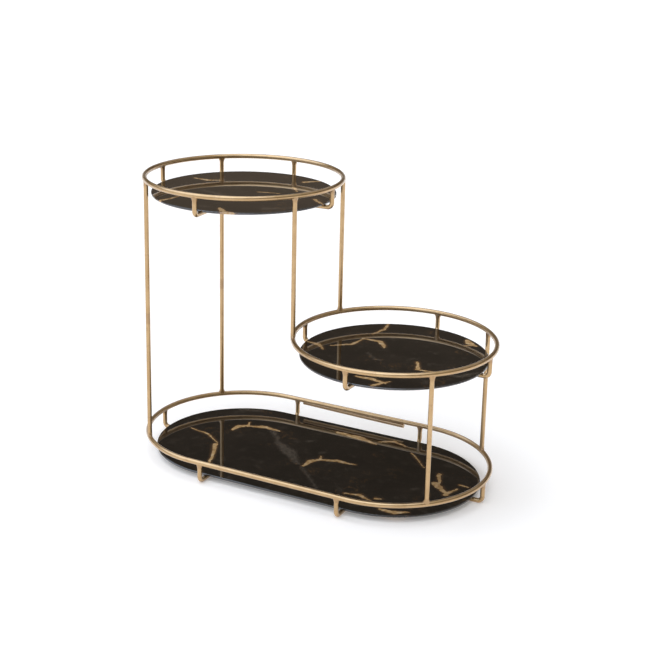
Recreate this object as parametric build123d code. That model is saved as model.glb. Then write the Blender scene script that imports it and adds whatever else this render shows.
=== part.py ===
from build123d import *
from math import acos, cos, degrees, radians, sin
import os

# Three-tier cake stand: a welded wire frame that carries three loose flat trays. The two upper
# tiers are circles of one radius, set off to the left and to the right of the middle, and the
# base is the stadium that runs round both circles. +X runs along the base and +Y to the back.
# The origin is on the surface that the stand rests on, under the middle of the base.

# Wire frame, mm
RAIL_WIRE = 5.4            # diameter of the rails
ROD_WIRE = 5.0             # diameter of the posts and hooks
RAIL_RADIUS = 108.0        # centreline radius of the rails of all tiers
TIER_OFFSET = 93.2         # from the middle of the stand to the axis of each upper tier
MIDDLE_RISE = 140.3        # base rail centreline to middle rail centreline
TOP_RISE = 294.8           # base rail centreline to top rail centreline
POST_ANGLE = 45.0          # outer posts: turn from the X axis, about their tier's axis

# Trays, mm
TRAY_THICKNESS = 2.2
ROUND_TRAY_RADIUS = 101.2
BASE_TRAY_RADIUS = 98.4    # of the base tray's ends, and half its width
TRAY_DROP = 16.4           # rail centreline to the trays' top faces
TRAY_EDGE = 0.8            # rounding of the trays' edges
TRAY_GAP = 0.25            # between a tray and the hooks that carry it

# Hooks: each drops from a rail, turns inwards and reaches under a tray, mm
HOOK_DROP = TRAY_DROP + TRAY_THICKNESS + TRAY_GAP + ROD_WIRE / 2
HOOK_BEND = 5.4            # centreline radius of the corner
HOOK_REACH = 24.0          # how far the leg reaches inwards from the rail's centreline
HOOK_TIP = 0.8             # rounding of the leg's end
BASE_HOOK_X = {"front": 83.0, "back": 81.0}    # on the straight runs of the base rail
# Angles round each upper rail: welded by hand, they stand a little off the quarter turns
HOOK_ANGLES = {
    "top": {"right": 0, "back": 88.7, "left": 179, "front": 273},
    "middle": {"right": 0, "back": 88, "left": 180, "front": 268},
}

# Weld beads, which flare each wire end along the rail that it meets, mm
BEAD_ROOT = 0.5            # the bead starts this far from the rail's centreline
BEAD_RISE = 3.4            # and ends this far beyond the rail's surface
BEAD_SPREAD = 3.2          # widening at the root, along the rail
BEAD_SKIN = 0.08           # thickness of the bead where it runs out
BEAD_STEPS = 4

# The base rail's wire ends lap each other along the back: the free end lies against the rail,
# outwards and below at one end of the lap and right beneath it at the other, mm
LAP_START_X = -74.0
LAP_END_X = 60.0
LAP_START_ANGLE = 52.0     # below the horizontal, seen along the rail
LAP_END_ANGLE = 86.0
LAP_GAP = 0.05
LAP_STANDOFF = (RAIL_WIRE + ROD_WIRE) / 2 + LAP_GAP

BASE_RAIL_Z = HOOK_DROP + ROD_WIRE / 2
MIDDLE_RAIL_Z = BASE_RAIL_Z + MIDDLE_RISE
TOP_RAIL_Z = BASE_RAIL_Z + TOP_RISE
CROSSING_ANGLE = degrees(acos(TIER_OFFSET / RAIL_RADIUS))

UP = Vector(0, 0, 1)
DOWN = Vector(0, 0, -1)


def direction(angle):
    """The horizontal unit vector at an angle from the X axis."""
    return Vector(cos(radians(angle)), sin(radians(angle)), 0)


def on_rail(x, angle, z):
    """The point of a rail's centreline at an angle round the axis that stands at x."""
    return Vector(x, 0, z) + direction(angle) * RAIL_RADIUS


def round_rail(x, z):
    return Pos(x, 0, z) * Torus(RAIL_RADIUS, RAIL_WIRE / 2)


def stadium(radius):
    """The flat outline that runs round both upper tiers at a radius from their axes."""
    return SlotCenterToCenter(2 * TIER_OFFSET, 2 * radius)


def base_rail():
    path = (Pos(0, 0, BASE_RAIL_Z) * stadium(RAIL_RADIUS)).face().outer_wire()
    section = Plane(origin=path @ 0, z_dir=path % 0) * Circle(RAIL_WIRE / 2)
    return sweep(section, path=path)


def base_rail_lap():
    """The lapped wire: a shallow arc that stays in touch with the back of the base rail."""
    points = []
    for share in (0, 0.5, 1):
        x = LAP_START_X + share * (LAP_END_X - LAP_START_X)
        turn = radians(LAP_START_ANGLE + share * (LAP_END_ANGLE - LAP_START_ANGLE))
        y = RAIL_RADIUS + LAP_STANDOFF * cos(turn)
        z = BASE_RAIL_Z - LAP_STANDOFF * sin(turn)
        points.append((x, y, z))
    path = ThreePointArc(*points)
    section = Plane(origin=path @ 0, z_dir=path % 0) * Circle(ROD_WIRE / 2)
    return sweep(section, path=path)


def bead(point, away, along):
    """The weld bead of a wire end that leaves a rail's centreline at point in direction away.

    It is widest along the rail, whose tangent is along, and runs out on the wire.
    """
    end = RAIL_WIRE / 2 + BEAD_RISE
    sections = []
    for step in range(BEAD_STEPS + 1):
        share = step / BEAD_STEPS
        height = BEAD_ROOT + share * (end - BEAD_ROOT)
        narrow = ROD_WIRE / 2 + BEAD_SKIN
        wide = narrow + BEAD_SPREAD * (1 - share) ** 2
        plane = Plane(origin=point + away * height, x_dir=along, z_dir=away)
        sections.append(plane * Ellipse(wide + BEAD_SKIN, narrow))
    return loft(sections)


def post(top, bottom, top_along, bottom_along):
    """A straight post between two rails' centrelines, with the beads at its ends."""
    plane = Plane(origin=bottom, z_dir=UP)
    rod = extrude(plane * Circle(ROD_WIRE / 2), amount=(top - bottom).length)
    return rod + bead(top, DOWN, top_along) + bead(bottom, UP, bottom_along)


def hook(point, inward):
    """A hook that hangs from a rail's centreline at point and reaches inwards."""
    corner = point + DOWN * HOOK_DROP
    path = FilletPolyline(point, corner, corner + inward * HOOK_REACH, radius=HOOK_BEND)
    section = Plane(origin=point, z_dir=DOWN) * Circle(ROD_WIRE / 2)
    wire = sweep(section, path=path)
    tip = wire.faces().sort_by(lambda face: face.center().dot(inward))[-1]
    wire = fillet(tip.edges(), HOOK_TIP)
    return wire + bead(point, DOWN, inward.rotate(Axis.Z, 90))


def tray(outline, z):
    """A flat plate with rounded edges whose top face is TRAY_DROP below a rail at z."""
    bottom = z - TRAY_DROP - TRAY_THICKNESS
    plate = extrude(Pos(0, 0, bottom) * outline, amount=TRAY_THICKNESS)
    flat_faces = plate.faces().filter_by(Axis.Z)
    return fillet(flat_faces.edges(), TRAY_EDGE)


rails = {
    "top_rail": round_rail(-TIER_OFFSET, TOP_RAIL_Z),
    "middle_rail": round_rail(TIER_OFFSET, MIDDLE_RAIL_Z),
    "base_rail": base_rail(),
}
parts = {**rails, "base_rail_lap": base_rail_lap()}

# Outer posts: the left pair stands under the top tier, the right pair under the middle tier
for side, sign, z in (("left", -1, TOP_RAIL_Z), ("right", 1, MIDDLE_RAIL_Z)):
    axis_x = sign * TIER_OFFSET
    upper = rails["top_rail"] if side == "left" else rails["middle_rail"]
    for face, turn in (("front", -1), ("back", 1)):
        angle = 90 - sign * 90 + sign * turn * POST_ANGLE
        along = direction(angle + 90)
        ends = on_rail(axis_x, angle, z), on_rail(axis_x, angle, BASE_RAIL_Z)
        parts[f"post_{side}_{face}"] = post(*ends, along, along) - upper - rails["base_rail"]

# Middle posts: they join the two upper rails where their circles cross in plan
for face, turn in (("front", -1), ("back", 1)):
    upper_angle = turn * CROSSING_ANGLE
    lower_angle = 180 - upper_angle
    ends = (
        on_rail(-TIER_OFFSET, upper_angle, TOP_RAIL_Z),
        on_rail(TIER_OFFSET, lower_angle, MIDDLE_RAIL_Z),
    )
    blank = post(*ends, direction(upper_angle + 90), direction(lower_angle + 90))
    parts[f"post_middle_{face}"] = blank - rails["top_rail"] - rails["middle_rail"]

# Hooks of the round tiers, a quarter turn apart
for tier, axis_x, z in (("top", -TIER_OFFSET, TOP_RAIL_Z), ("middle", TIER_OFFSET, MIDDLE_RAIL_Z)):
    for place, angle in HOOK_ANGLES[tier].items():
        blank = hook(on_rail(axis_x, angle, z), -direction(angle))
        parts[f"{tier}_hook_{place}"] = blank - rails[f"{tier}_rail"]

# Hooks of the base: one at each end and two on each straight run. The stand rests on them
for place, sign, angle in (("right", 1, 0), ("left", -1, 180)):
    end_hook = hook(on_rail(sign * TIER_OFFSET, angle, BASE_RAIL_Z), -direction(angle))
    parts[f"base_hook_{place}"] = end_hook - rails["base_rail"]
    for face, turn in (("front", -1), ("back", 1)):
        point = Vector(sign * BASE_HOOK_X[face], turn * RAIL_RADIUS, BASE_RAIL_Z)
        run_hook = hook(point, direction(-turn * 90))
        parts[f"base_hook_{face}_{place}"] = run_hook - rails["base_rail"]

parts["top_tray"] = tray(Pos(-TIER_OFFSET, 0) * Circle(ROUND_TRAY_RADIUS), TOP_RAIL_Z)
parts["middle_tray"] = tray(Pos(TIER_OFFSET, 0) * Circle(ROUND_TRAY_RADIUS), MIDDLE_RAIL_Z)
parts["base_tray"] = tray(stadium(BASE_TRAY_RADIUS), BASE_RAIL_Z)

os.makedirs("parts", exist_ok=True)
for node, shape in parts.items():
    export_step(shape, f"parts/{node}.step")
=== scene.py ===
import math

import bpy
from mathutils import Matrix, Vector


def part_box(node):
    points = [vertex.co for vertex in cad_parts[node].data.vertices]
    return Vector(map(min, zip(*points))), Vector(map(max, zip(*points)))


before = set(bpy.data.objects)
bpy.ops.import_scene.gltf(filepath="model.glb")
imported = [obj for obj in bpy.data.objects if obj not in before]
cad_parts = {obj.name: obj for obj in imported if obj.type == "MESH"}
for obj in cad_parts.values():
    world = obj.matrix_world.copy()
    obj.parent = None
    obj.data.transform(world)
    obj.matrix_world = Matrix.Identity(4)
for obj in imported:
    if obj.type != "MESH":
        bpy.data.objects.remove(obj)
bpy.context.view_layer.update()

# Places in the frame, in metres: the middle of each tier's tray and the height of its rail
TIERS = ("top", "middle", "base")
TIER_X = {tier: sum(corner.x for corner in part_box(f"{tier}_tray")) / 2 for tier in TIERS}
RAIL_Z = {tier: sum(corner.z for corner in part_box(f"{tier}_rail")) / 2 for tier in TIERS}

# ---------------------------------------------------------------- camera and stage

CAMERA_AT = (0.6495, -1.2375, 0.6351)
CAMERA_YAW = 27.2          # degrees, to the left of +Y
CAMERA_PITCH = 16.08       # degrees below the horizon
CAMERA_ROLL = 1.28         # degrees
LENS = 73.6                # mm
SENSOR = 36                # mm
SHIFT_Y = -0.0991
CLIP_START = 0.01          # metres

FLOOR_HALF = 14.0          # metres
PAPER_ROUGHNESS = 0.8
PAPER_TONE_SCALE = 2.0
PAPER_GLOW = 0.2           # the paper shines a little, which thins its shadows
SUN_STRENGTH = 2.6
SUN_ANGLE = 95             # degrees across: a large soft light
SUN_FROM = (-0.35, -0.45, 1.0)
SUN_COLOUR = (0.86, 1.0, 1.24)    # cool; the paper is creamy, so that it comes out neutral
PAPER_CREAM = (0.92, 0.85, 0.76, 1)
PAPER_PALE = (0.94, 0.87, 0.78, 1)


def make_camera():
    data = bpy.data.cameras.new("camera")
    data.lens = LENS
    data.sensor_width = SENSOR
    data.shift_y = SHIFT_Y
    data.clip_start = CLIP_START
    camera = bpy.data.objects.new("camera", data)
    turn = Matrix.Rotation(math.radians(CAMERA_YAW), 4, "Z")
    tilt = Matrix.Rotation(math.radians(90 - CAMERA_PITCH), 4, "X")
    roll = Matrix.Rotation(math.radians(CAMERA_ROLL), 4, "Z")
    camera.matrix_world = Matrix.Translation(CAMERA_AT) @ turn @ tilt @ roll
    bpy.context.scene.collection.objects.link(camera)
    bpy.context.scene.camera = camera


def make_sun():
    data = bpy.data.lights.new("overhead", "SUN")
    data.energy = SUN_STRENGTH
    data.angle = math.radians(SUN_ANGLE)
    data.color = SUN_COLOUR
    lamp = bpy.data.objects.new("overhead", data)
    lamp.rotation_euler = (-Vector(SUN_FROM)).to_track_quat("-Z", "Y").to_euler()
    bpy.context.scene.collection.objects.link(lamp)


def make_floor(material):
    half = FLOOR_HALF
    corners = [(-half, -half, 0), (half, -half, 0), (half, half, 0), (-half, half, 0)]
    mesh = bpy.data.meshes.new("floor")
    mesh.from_pydata(corners, [], [(0, 1, 2, 3)])
    mesh.materials.append(material)
    floor = bpy.data.objects.new("floor", mesh)
    bpy.context.scene.collection.objects.link(floor)


# ---------------------------------------------------------------- node helpers

class Graph:
    """Short calls that add nodes to a tree. An input is a socket, or a plain value."""

    def __init__(self, tree):
        self.tree = tree

    def node(self, kind, inputs=(), **settings):
        node = self.tree.nodes.new(kind)
        for name, value in settings.items():
            setattr(node, name, value)
        for key, value in dict(inputs).items():
            if isinstance(value, bpy.types.NodeSocket):
                self.tree.links.new(value, node.inputs[key])
            else:
                node.inputs[key].default_value = value
        return node

    def math(self, operation, *values, clamp=False):
        inputs = dict(enumerate(values))
        return self.node("ShaderNodeMath", inputs, operation=operation, use_clamp=clamp).outputs[0]

    def vector(self, operation, *values, output=0, **named):
        inputs = {**dict(enumerate(values)), **named}
        return self.node("ShaderNodeVectorMath", inputs, operation=operation).outputs[output]

    def noise(self, point, scale, detail=3.0, roughness=0.5, distortion=0.0, output="Fac"):
        inputs = {
            "Vector": point,
            "Scale": scale,
            "Detail": detail,
            "Roughness": roughness,
            "Distortion": distortion,
        }
        return self.node("ShaderNodeTexNoise", inputs).outputs[output]

    def remap(self, value, from_low, from_high, to_low=0.0, to_high=1.0, curve="LINEAR"):
        inputs = {0: value, 1: from_low, 2: from_high, 3: to_low, 4: to_high}
        return self.node("ShaderNodeMapRange", inputs, interpolation_type=curve).outputs[0]

    def mix(self, share, first, second):
        inputs = {"Factor": share, 6: first, 7: second}
        return self.node("ShaderNodeMix", inputs, data_type="RGBA").outputs[2]

    def bump(self, height, strength, distance):
        inputs = {"Height": height, "Strength": strength, "Distance": distance}
        return self.node("ShaderNodeBump", inputs).outputs[0]

    def separate(self, vector):
        return self.node("ShaderNodeSeparateXYZ", {0: vector}).outputs

    def place(self):
        """The point being shaded, in the frame's metres."""
        return self.node("ShaderNodeTexCoord").outputs["Object"]


def new_material(name):
    """A material with its graph and its Principled shader."""
    material = bpy.data.materials.new(name)
    material.use_nodes = True
    return material, Graph(material.node_tree), material.node_tree.nodes["Principled BSDF"]


def connect(graph, shader, **sockets):
    """Links each named socket to the shader's input of that meaning."""
    names = {"colour": "Base Color", "roughness": "Roughness", "normal": "Normal"}
    for name, socket in sockets.items():
        graph.tree.links.new(socket, shader.inputs[names[name]])


# ---------------------------------------------------------------- gold wire

GOLD = (0.46, 0.267, 0.082, 1)
GOLD_DEEP = (0.33, 0.165, 0.042, 1)
GOLD_PALE = (0.53, 0.325, 0.12, 1)
GOLD_ROUGHNESS = 0.24
GOLD_COAT_IOR = 1.9
GOLD_COAT_ROUGHNESS = 0.22
GOLD_BUMP = (0.12, 0.00012)    # strength, and depth in metres
STAIN_SHARE = 0.7
WELD_REACH = 0.0075        # from a rail's centreline, the part of a post or hook that is weld
WELD_DARKENING = 0.45
# Noise scales, per metre
TONE_SCALE = 55
STAIN_SCALE = 210
RIPPLE_SCALE = 420
LUMP_SCALE = 700
GRAIN_SCALE = 2600
# What each adds to the roughness
RIPPLE_ROUGHNESS = 0.16
GRAIN_ROUGHNESS = 0.05
WELD_ROUGHNESS = 0.12


def gold_material(name, welded):
    """Champagne gold plating on drawn wire. Posts and hooks are lumpier and rougher by their welds."""
    material, graph, shader = new_material(name)
    shader.inputs["Metallic"].default_value = 1
    point = graph.place()
    tone = graph.noise(point, TONE_SCALE, detail=4)
    colour = graph.mix(graph.remap(tone, 0.35, 0.62), GOLD, GOLD_PALE)
    stain = graph.remap(graph.noise(point, STAIN_SCALE, detail=6, roughness=0.65), 0.56, 0.72)
    colour = graph.mix(graph.math("MULTIPLY", stain, STAIN_SHARE), colour, GOLD_DEEP)
    grain = graph.noise(point, GRAIN_SCALE, detail=2)
    ripple = graph.noise(point, RIPPLE_SCALE, detail=3)
    roughness = graph.math("MULTIPLY_ADD", ripple, RIPPLE_ROUGHNESS, GOLD_ROUGHNESS)
    roughness = graph.math("MULTIPLY_ADD", grain, GRAIN_ROUGHNESS, roughness)
    height = graph.math("MULTIPLY_ADD", grain, 0.25, ripple)
    if welded:
        level = graph.separate(point)[2]
        nearest = None
        for z in sorted(RAIL_Z.values()):
            gap = graph.math("ABSOLUTE", graph.math("SUBTRACT", level, z))
            nearest = gap if nearest is None else graph.math("MINIMUM", nearest, gap)
        weld = graph.remap(nearest, 0.6 * WELD_REACH, WELD_REACH, 1, 0, "SMOOTHSTEP")
        lumps = graph.noise(point, LUMP_SCALE, detail=2, distortion=0.6)
        roughness = graph.math("MULTIPLY_ADD", weld, WELD_ROUGHNESS, roughness)
        lumps = graph.math("MULTIPLY", weld, graph.math("MULTIPLY", lumps, 3))
        height = graph.math("ADD", height, lumps)
        colour = graph.mix(graph.math("MULTIPLY", weld, WELD_DARKENING), colour, GOLD_DEEP)
    connect(graph, shader, colour=colour, roughness=roughness)
    connect(graph, shader, normal=graph.bump(height, *GOLD_BUMP))
    shader.inputs["Coat Weight"].default_value = 1
    shader.inputs["Coat IOR"].default_value = GOLD_COAT_IOR
    shader.inputs["Coat Roughness"].default_value = GOLD_COAT_ROUGHNESS
    return material


# ---------------------------------------------------------------- marbled trays

BLACK = (0.0075, 0.0062, 0.0050, 1)
BLACK_WARM = (0.016, 0.012, 0.009, 1)
SMOKE = (0.125, 0.097, 0.070, 1)
VEIN_TAN = (0.52, 0.31, 0.125, 1)
VEIN_PALE = (0.70, 0.51, 0.30, 1)
VEIN_RUST = (0.24, 0.115, 0.038, 1)
TRAY_IOR = 1.75
TRAY_COAT = 0.5
TRAY_COAT_ROUGHNESS = 0.02
TRAY_BUMP = (0.06, 0.0004)     # strength, and depth in metres
MILLIMETRES = 1000.0           # in a metre
# Outlines, in millimetres: how far and over what wavelength they bend, then fray, how much a
# coarse noise adds to or takes from them, and how wide their soft edges are
BEND = (2.4, 16)
FRAY = (1.0, 3.2)
GOLD_BITE = 2.6
SMOKE_BITE = 7
GOLD_EDGE = 0.45
HALO_REACH = 3.2
HALO_SHARE = 0.35
SMOKE_SHARE = 0.85
CRACK_SHARE = 0.5

# Veins. Each stroke is (x, y, heading, length, bend, half width), in millimetres about its tray's
# middle and degrees from +X. With a bend, its second half turns by that
GOLD_STROKES = {
    "base": [
        (-165, 0, -10, 55, -25, 1.3),
        (-115, -25, -65, 50, 0, 2.6),
        (-95, -90, -50, 12, 0, 1.4),
        (-120, 20, 85, 25, -40, 4.0),
        (-110, 38, 25, 42, -30, 3.0),
        (-110, 38, 110, 12, 0, 1.7),
        (0, -25, 85, 25, -35, 3.6),
        (6, -4, 20, 44, -15, 3.0),
        (8, -3, 110, 10, 0, 1.6),
        (-10, 75, 0, 55, -15, 4.2),
        (45, 75, 35, 35, -55, 2.2),
        (90, 65, -45, 40, 0, 1.0),
        (140, 30, -70, 30, 0, 2.2),
        (145, 5, -40, 30, 0, 4.0),
        (165, -15, 75, 20, 0, 2.4),
        (170, 15, -10, 10, 0, 1.3),
        (70, -65, 15, 35, -40, 2.0),
        (105, -60, 20, 6, 0, 1.8),
        (120, -80, 0, 30, 30, 3.8),
    ],
    "middle": [
        (-48, 90, -80, 45, -20, 2.0),
        (-70, -10, 40, 45, 40, 2.0),
        (-50, 28, 0, 40, -50, 3.0),
        (-98, -12, -10, 30, -30, 2.4),
        (41, -28, 120, 20, 0, 2.2),
        (40, -30, 5, 20, 0, 1.6),
        (-5, -80, 0, 35, -10, 3.4),
        (20, -95, 60, 20, 0, 2.0),
        (50, 82, -50, 22, 20, 4.0),
        (57, 64, 35, 8, 0, 1.6),
    ],
    "top": [
        (-80, 25, -5, 35, 35, 2.8),
        (35, 73, 50, 25, 0, 2.6),
        (-50, -88, 80, 30, 0, 2.2),
        (20, -82, -45, 32, 45, 3.8),
        (85, 5, -40, 20, 0, 2.2),
        (38, 42, -50, 20, 0, 1.8),
        (15, 3, 15, 25, 0, 1.2),
    ],
}
SMOKE_STROKES = {
    "base": [
        (-80, 45, -50, 40, 0, 3.0),
        (-55, 15, -35, 60, -10, 7.0),
        (0, -30, -45, 55, 0, 1.0),
        (-27, 35, 45, 5, 0, 1.8),
        (1, 14, 45, 5, 0, 1.4),
        (130, -20, 45, 5, 0, 1.3),
        (-145, 80, 15, 25, 0, 3.0),
    ],
    "middle": [
        (-25, -12, -40, 20, 0, 0.8),
        (-10, -25, 0, 5, 0, 1.6),
        (60, -32, 10, 55, 50, 2.2),
    ],
    "top": [
        (0, -85, 10, 6, 0, 1.6),
        (-40, -22, -15, 70, 20, 2.4),
        (60, -60, 40, 30, 0, 2.0),
    ],
}
# Half widths at the ends of a stroke's runs, as shares of its widest
STRAIGHT_SWELL = (1.0, 0.4)
BENT_SWELL = (0.45, 1.0, 0.3)


def stroke_runs(x, y, heading, length, bend, width):
    """The stroke's straight runs, each as (start, run, half width at its start, at its end)."""
    swell = BENT_SWELL if bend else STRAIGHT_SWELL
    share = length / (len(swell) - 1)
    start = Vector((x, y, 0))
    for step, (first, last) in enumerate(zip(swell, swell[1:])):
        turn = math.radians(heading + bend * step)
        run = share * Vector((math.cos(turn), math.sin(turn), 0))
        yield start, run, width * first, width * last
        start = start + run


def segment_group():
    """A node group: how far a point is outside a tapered stroke, in the flat, negative inside."""
    tree = bpy.data.node_groups.new("vein_segment", "ShaderNodeTree")
    face = tree.interface
    for name in ("Point", "Start", "Run"):
        face.new_socket(name, in_out="INPUT", socket_type="NodeSocketVector")
    for name in ("Inverse", "Width", "Growth"):
        face.new_socket(name, in_out="INPUT", socket_type="NodeSocketFloat")
    face.new_socket("Outside", in_out="OUTPUT", socket_type="NodeSocketFloat")
    graph = Graph(tree)
    given = graph.node("NodeGroupInput").outputs
    offset = graph.vector("SUBTRACT", given["Point"], given["Start"])
    along = graph.vector("DOT_PRODUCT", offset, given["Run"], output="Value")
    share = graph.math("MULTIPLY", along, given["Inverse"], clamp=True)
    foot = graph.vector("SCALE", given["Run"], Scale=share)
    gap = graph.vector("DISTANCE", offset, foot, output="Value")
    width = graph.math("MULTIPLY_ADD", share, given["Growth"], given["Width"])
    graph.node("NodeGroupOutput", {"Outside": graph.math("SUBTRACT", gap, width)})
    return tree


def outside_veins(graph, group, point, strokes):
    """How far the point is outside the nearest of the strokes, in millimetres."""
    nearest = None
    for stroke in strokes:
        for start, run, width, end_width in stroke_runs(*stroke):
            segment = graph.node("ShaderNodeGroup", node_tree=group)
            graph.tree.links.new(point, segment.inputs["Point"])
            segment.inputs["Start"].default_value = start
            segment.inputs["Run"].default_value = run
            segment.inputs["Inverse"].default_value = 1 / run.length_squared
            segment.inputs["Width"].default_value = width
            segment.inputs["Growth"].default_value = end_width - width
            outside = segment.outputs["Outside"]
            nearest = outside if nearest is None else graph.math("MINIMUM", nearest, outside)
    return nearest


def warp(graph, point, size, wavelength):
    """The point pushed about by noise, by up to about half of size each way."""
    field = graph.noise(point, 1 / wavelength, detail=1, output="Color")
    push = graph.vector("SUBTRACT", field, (0.5, 0.5, 0.5))
    return graph.vector("ADD", point, graph.vector("MULTIPLY", push, (2 * size, 2 * size, 0)))


def tray_material(tier, group):
    """Polished black stone look: gold veins, smoky clouds and hair-fine cracks under a clear gloss."""
    material, graph, shader = new_material(f"{tier}_marble")
    centre = (-TIER_X[tier] * MILLIMETRES, 0, 0)
    scaled = graph.vector("SCALE", graph.place(), Scale=MILLIMETRES)
    place = graph.vector("ADD", scaled, centre)
    flat = graph.vector("MULTIPLY", place, (1, 1, 0))

    # Bent and then frayed outlines
    bent = warp(graph, flat, *BEND)
    ragged = warp(graph, bent, *FRAY)
    bite = graph.math("SUBTRACT", graph.noise(flat, 0.45, detail=3), 0.5)
    gold_gap = outside_veins(graph, group, ragged, GOLD_STROKES[tier])
    gold_gap = graph.math("MULTIPLY_ADD", bite, GOLD_BITE, gold_gap)
    gold = graph.remap(gold_gap, -GOLD_EDGE, GOLD_EDGE, 1, 0, "SMOOTHSTEP")
    halo = graph.remap(gold_gap, 0, HALO_REACH, HALO_SHARE, 0, "SMOOTHSTEP")
    smoke_gap = outside_veins(graph, group, ragged, SMOKE_STROKES[tier])
    smoke_gap = graph.math("MULTIPLY_ADD", bite, SMOKE_BITE, smoke_gap)
    smoke = graph.remap(smoke_gap, -3, 3.5, 1, 0, "SMOOTHSTEP")

    # Clouds in the black, and cracks where a noise crosses its middle value
    cloud = graph.noise(bent, 0.022, detail=5, roughness=0.6)
    colour = graph.mix(graph.remap(cloud, 0.42, 0.68), BLACK, BLACK_WARM)
    haze = graph.remap(graph.noise(ragged, 0.06, detail=6, roughness=0.7), 0.55, 0.85, 0, 0.5)
    colour = graph.mix(haze, colour, SMOKE)
    mottle = graph.remap(graph.noise(bent, 0.28, detail=6, roughness=0.7), 0.4, 0.62, 0.25, 1)
    mottle = graph.math("MULTIPLY", mottle, SMOKE_SHARE)
    colour = graph.mix(graph.math("MULTIPLY", smoke, mottle), colour, SMOKE)
    crack = graph.noise(ragged, 0.03, detail=4, roughness=0.55)
    crack = graph.math("ABSOLUTE", graph.math("SUBTRACT", crack, 0.5))
    crack = graph.remap(crack, 0.001, 0.0045, 1, 0)
    sparse = graph.remap(graph.noise(flat, 0.018, detail=1), 0.52, 0.62)
    crack = graph.math("MULTIPLY", crack, graph.math("MULTIPLY", sparse, CRACK_SHARE))
    colour = graph.mix(crack, colour, VEIN_RUST)
    colour = graph.mix(halo, colour, VEIN_RUST)

    # The veins themselves run from rust through tan to pale gold
    streak = graph.noise(ragged, 0.16, detail=5, roughness=0.65)
    vein = graph.mix(graph.remap(streak, 0.3, 0.5), VEIN_RUST, VEIN_TAN)
    vein = graph.mix(graph.remap(streak, 0.5, 0.68), vein, VEIN_PALE)
    colour = graph.mix(gold, colour, vein)

    # Handling smudges and hair scratches in the gloss
    smudge = graph.noise(place, 0.035, detail=5, roughness=0.7)
    roughness = graph.remap(smudge, 0.45, 0.8, 0.03, 0.11)
    scratch = graph.noise(graph.vector("MULTIPLY", bent, (0.03, 1.4, 1)), 1, detail=1)
    scratch = graph.remap(scratch, 0.66, 0.72, 0, 0.06)
    roughness = graph.math("ADD", scratch, roughness)
    connect(graph, shader, colour=colour, roughness=roughness)
    ripple = graph.noise(place, 0.04, detail=1)
    connect(graph, shader, normal=graph.bump(ripple, *TRAY_BUMP))
    shader.inputs["IOR"].default_value = TRAY_IOR
    shader.inputs["Coat Weight"].default_value = TRAY_COAT
    shader.inputs["Coat Roughness"].default_value = TRAY_COAT_ROUGHNESS
    return material


# ---------------------------------------------------------------- floor and sky

def paper_material():
    """Matt off-white paper that shines a little."""
    material, graph, shader = new_material("paper")
    tone = graph.noise(graph.place(), PAPER_TONE_SCALE, detail=2)
    colour = graph.mix(tone, PAPER_CREAM, PAPER_PALE)
    connect(graph, shader, colour=colour)
    shader.inputs["Roughness"].default_value = PAPER_ROUGHNESS
    shader.inputs["Emission Color"].default_value = (1, 1, 1, 1)
    shader.inputs["Emission Strength"].default_value = PAPER_GLOW
    return material


def make_sky():
    """A dim warm room, pale at the horizon and grey overhead."""
    world = bpy.data.worlds.new("room")
    bpy.context.scene.world = world
    world.use_nodes = True
    graph = Graph(world.node_tree)
    height = graph.separate(graph.node("ShaderNodeTexCoord").outputs["Generated"])[2]
    ramp = graph.node("ShaderNodeValToRGB", {0: graph.remap(height, 0, 1)})
    # (height from the horizon at 0 to straight up at 1, colour)
    stops = [
        (0.00, (0.95, 0.94, 0.92, 1)),
        (0.08, (0.80, 0.78, 0.74, 1)),
        (0.17, (0.155, 0.118, 0.086, 1)),
        (0.36, (0.066, 0.052, 0.038, 1)),
        (0.47, (0.066, 0.052, 0.038, 1)),
        (0.60, (0.50, 0.50, 0.50, 1)),
        (1.00, (0.60, 0.60, 0.60, 1)),
    ]
    for place, colour in stops[1:-1]:
        ramp.color_ramp.elements.new(place)
    for element, (place, colour) in zip(ramp.color_ramp.elements, stops):
        element.position = place
        element.color = colour
    background = world.node_tree.nodes["Background"]
    graph.tree.links.new(ramp.outputs[0], background.inputs["Color"])


# ---------------------------------------------------------------- assembly

make_camera()
make_sun()
make_sky()
make_floor(paper_material())

rail_gold = gold_material("rail_gold", welded=False)
rod_gold = gold_material("rod_gold", welded=True)
vein_group = segment_group()
for name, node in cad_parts.items():
    node.data.materials.clear()
    if name.endswith("_tray"):
        node.data.materials.append(tray_material(name.removesuffix("_tray"), vein_group))
    elif name.endswith("_rail"):
        node.data.materials.append(rail_gold)
    else:
        node.data.materials.append(rod_gold)

bpy.context.scene.view_settings.view_transform = "Standard"
